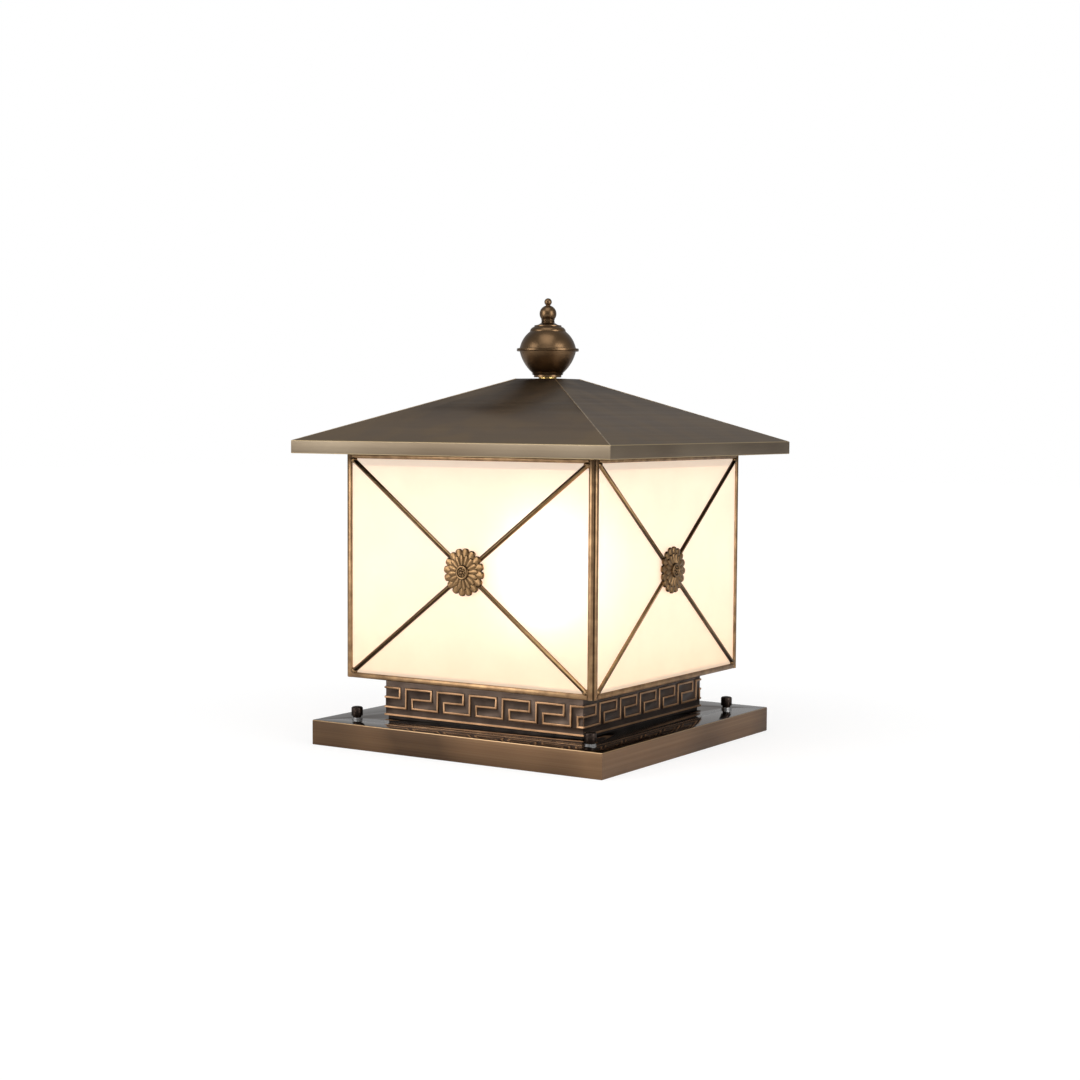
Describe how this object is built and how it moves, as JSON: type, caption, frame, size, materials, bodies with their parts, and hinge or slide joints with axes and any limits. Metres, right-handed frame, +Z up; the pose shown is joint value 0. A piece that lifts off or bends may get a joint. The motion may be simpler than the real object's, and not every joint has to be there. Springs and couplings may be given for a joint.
{
  "type": "post cap light",
  "caption": "Square post-top lantern: hipped roof with finial, frosted glass sides with crossed bars and rosettes, key-pattern plinth on a flat base cover.",
  "frame": {"origin": "centre of the square footprint, on the plane that the base stands on", "axes": "+Z up along the post, -Y out of the front side, +X out of the right side"},
  "size_m": [0.3, 0.3, 0.3665],
  "materials": {
    "zinc_steel": "zinc plated, dull",
    "stainless": "plain stainless, satin",
    "bronze_sheet": "brushed sheet, chemically darkened to antique bronze, lacquered",
    "dark_bronze": "sheet, darkened nearly black",
    "bronze_relief": "pressed relief, dark field and rubbed copper ribs",
    "copper_trim": "drawn came profile, rubbed antique copper",
    "cast_brass": "cast and rubbed antique brass",
    "antique_brass": "spun and turned, antique finish, lacquered",
    "brass": "plain turned brass",
    "nickel_brass": "nickel plated",
    "black_nut": "blackened, satin",
    "black_rubber": "matt",
    "terminal_plastic": "moulded, matt",
    "porcelain": null,
    "opal_bulb": "opal diffuser of an LED lamp",
    "frosted_glass": "frosted cream glass, satin outside"
  },
  "bodies": {
    "lantern": {"mounting_plate": "zinc_steel", "plate_studs": "stainless", "stud_lower_nuts": "stainless", "thumb_nut_washers": "stainless", "base_cover": "bronze_sheet", "cable_grommet": "black_rubber", "plinth_core": "dark_bronze", "plinth_screws": "stainless", "terminal_block": "terminal_plastic", "earth_screw": "brass", "body_floor": "bronze_sheet", "floor_screws": "stainless", "top_ring": "bronze_sheet", "crossbar": "zinc_steel", "crossbar_screws": "stainless", "finial_stud": "stainless", "stud_lock_nuts": "stainless", "lampholder_bracket": "zinc_steel", "lampholder_body": "porcelain", "lampholder_shell": "nickel_brass", "lampholder_contact": "brass", "side_rails_front": "copper_trim", "glass_panel_front": "frosted_glass", "lattice_bars_front": "copper_trim", "rosette_front": "cast_brass", "meander_band_front": "bronze_relief", "side_rails_right": "copper_trim", "glass_panel_right": "frosted_glass", "lattice_bars_right": "copper_trim", "rosette_right": "cast_brass", "meander_band_right": "bronze_relief", "side_rails_back": "copper_trim", "glass_panel_back": "frosted_glass", "lattice_bars_back": "copper_trim", "rosette_back": "cast_brass", "meander_band_back": "bronze_relief", "side_rails_left": "copper_trim", "glass_panel_left": "frosted_glass", "lattice_bars_left": "copper_trim", "rosette_left": "cast_brass", "meander_band_left": "bronze_relief", "corner_post_front_right": "copper_trim", "corner_post_back_right": "copper_trim", "corner_post_back_left": "copper_trim", "corner_post_front_left": "copper_trim"},
    "roof": {"roof_shell": "bronze_sheet", "roof_soffit": "bronze_sheet", "roof_seal": "black_rubber", "roof_backing_plate": "zinc_steel"},
    "finial": {"finial_washer": "brass", "finial_lower_bowl": "antique_brass", "finial_upper_bowl": "antique_brass", "finial_knob": "antique_brass"},
    "bulb": {"bulb_cap": "nickel_brass", "bulb_globe": "opal_bulb"},
    "thumb_nut_front_right": {"thumb_nut_front_right": "black_nut"},
    "thumb_nut_back_right": {"thumb_nut_back_right": "black_nut"},
    "thumb_nut_back_left": {"thumb_nut_back_left": "black_nut"},
    "thumb_nut_front_left": {"thumb_nut_front_left": "black_nut"}
  },
  "joints": [
    {"name": "roof_lift", "type": "slide", "parent": "lantern", "child": "roof", "axis": [0, 0, 1], "range_m": [0, 0.13]},
    {"name": "finial_turn", "type": "hinge", "parent": "roof", "child": "finial", "pos_m": [0, 0, 0.3013], "axis": [0, 0, 1], "continuous": true},
    {"name": "bulb_turn", "type": "hinge", "parent": "lantern", "child": "bulb", "pos_m": [0, 0, 0.09], "axis": [0, 0, 1], "continuous": true},
    {"name": "thumb_nut_turn_front_right", "type": "hinge", "parent": "lantern", "child": "thumb_nut_front_right", "pos_m": [0.1121, -0.1121, 0.0214], "axis": [0, 0, 1], "continuous": true},
    {"name": "thumb_nut_turn_back_right", "type": "hinge", "parent": "lantern", "child": "thumb_nut_back_right", "pos_m": [0.1121, 0.1121, 0.0214], "axis": [0, 0, 1], "continuous": true},
    {"name": "thumb_nut_turn_back_left", "type": "hinge", "parent": "lantern", "child": "thumb_nut_back_left", "pos_m": [-0.1121, 0.1121, 0.0214], "axis": [0, 0, 1], "continuous": true},
    {"name": "thumb_nut_turn_front_left", "type": "hinge", "parent": "lantern", "child": "thumb_nut_front_left", "pos_m": [-0.1121, -0.1121, 0.0214], "axis": [0, 0, 1], "continuous": true}
  ]
}
